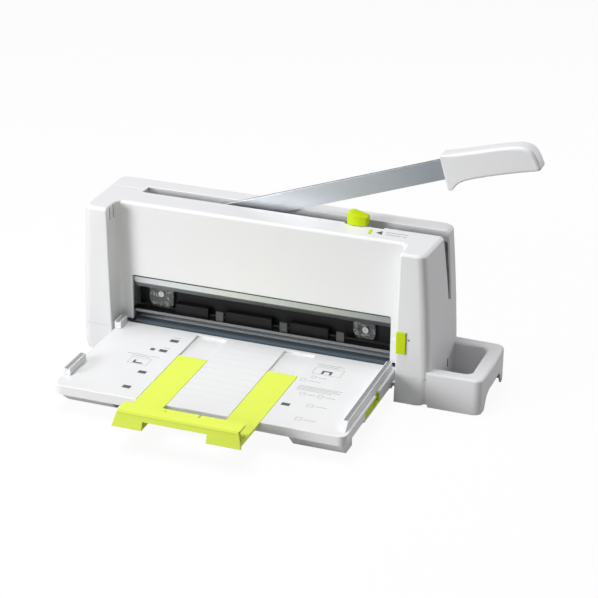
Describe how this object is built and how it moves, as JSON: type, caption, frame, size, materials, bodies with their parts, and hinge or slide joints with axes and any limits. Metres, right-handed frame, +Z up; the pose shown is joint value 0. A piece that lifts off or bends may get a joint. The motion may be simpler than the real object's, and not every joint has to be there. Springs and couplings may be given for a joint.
{
  "type": "stack paper cutter",
  "caption": "Desk paper cutter: tall white body with a long side lever, guarded blade, spring clamp, fold-up tray with lime paper gauge and side loop foot.",
  "frame": {"origin": "middle of the whole part's box in plan, on the desk", "axes": "+X along the throat to the lever's grip, +Y from the tray's front to the body's back, +Z up"},
  "size_m": [0.5126, 0.311, 0.2949],
  "materials": {
    "shell": "fine matt moulding",
    "lime": "satin moulding",
    "steel": "brushed along its length",
    "edge_steel": "ground",
    "fixing": "plain zinc",
    "slate": "matt paint",
    "black": "matt moulding",
    "rubber": "matt rubber",
    "stick": "grey nylon moulding",
    "clear": "clear moulding",
    "scale": "printed strip",
    "bush": "turned"
  },
  "bodies": {
    "housing": {"base": "shell", "front_cover": "shell", "rear_cover": "shell", "rubber_feet": "rubber", "base_screws": "fixing", "cover_screws": "fixing", "left_frame": "steel", "right_frame": "steel", "frame_screws": "fixing", "bed_plate": "slate", "bed_screws": "fixing", "cutting_stick": "stick", "upper_beam": "steel", "beam_screws": "fixing", "guide_beam": "steel", "guide_pins": "steel", "blade_guard": "black", "clear_guide_left": "clear", "clear_guide_right": "clear", "clear_guide_screws": "fixing", "clamp_rods": "steel", "clamp_springs": "steel", "pivot_bracket": "steel", "bracket_screws": "fixing", "pivot_pin": "steel", "pivot_clip": "fixing", "pivot_spacer": "stick", "return_spring": "steel", "tray_hinge_pins": "steel"},
    "lever": {"lever_arm": "steel", "pivot_bush": "bush", "drive_pin": "steel", "handle_grip": "shell", "grip_screws": "fixing"},
    "carriage": {"blade_carriage": "steel", "blade": "edge_steel", "blade_screws": "fixing"},
    "clamp": {"clamp_bar": "steel", "clamp_blocks": "black", "clamp_pad": "rubber"},
    "tray": {"tray_deck": "shell", "right_fence": "shell", "scale_strip": "scale", "left_fence_front": "shell", "left_fence_rear": "shell", "fence_caps": "scale", "catch_keeper": "lime", "tray_pads": "rubber"},
    "gauge": {"paper_gauge": "lime"},
    "lock": {"lock_slider": "lime", "lock_slider_plate": "black"},
    "catch": {"tray_catch": "lime", "catch_bolt": "shell"}
  },
  "joints": [
    {"name": "lever_hinge", "type": "hinge", "parent": "housing", "child": "lever", "pos_m": [-0.18883, 0.12551, 0.133], "axis": [0, 1, 0], "range_deg": [0, 23], "stiffness_Nm_per_rad": 4, "springref_deg": -45.84, "deforming": ["return_spring"]},
    {"name": "blade_slide", "type": "slide", "parent": "housing", "child": "carriage", "axis": [-0.4771, 0, -0.8789], "range_m": [0, 0.02515]},
    {"name": "clamp_slide", "type": "slide", "parent": "housing", "child": "clamp", "axis": [0, 0, -1], "range_m": [0, 0.0096], "deforming": ["clamp_springs"]},
    {"name": "tray_fold", "type": "hinge", "parent": "housing", "child": "tray", "pos_m": [-0.04883, 0.05952, 0.02], "axis": [-1, 0, 0], "range_deg": [0, 90]},
    {"name": "gauge_slide", "type": "slide", "parent": "tray", "child": "gauge", "axis": [0, -1, 0], "range_m": [0, 0.06]},
    {"name": "lock_slide", "type": "slide", "parent": "housing", "child": "lock", "axis": [1, 0, 0], "range_m": [0, 0.016]},
    {"name": "catch_slide", "type": "slide", "parent": "housing", "child": "catch", "axis": [0, 0, 1], "range_m": [0, 0.006]}
  ],
  "couplings": [
    {"joint": "blade_slide", "follows": "lever_hinge", "m_per_rad": 0.06266},
    {"joint": "clamp_slide", "follows": "lever_hinge", "m_per_rad": 0.023915}
  ]
}
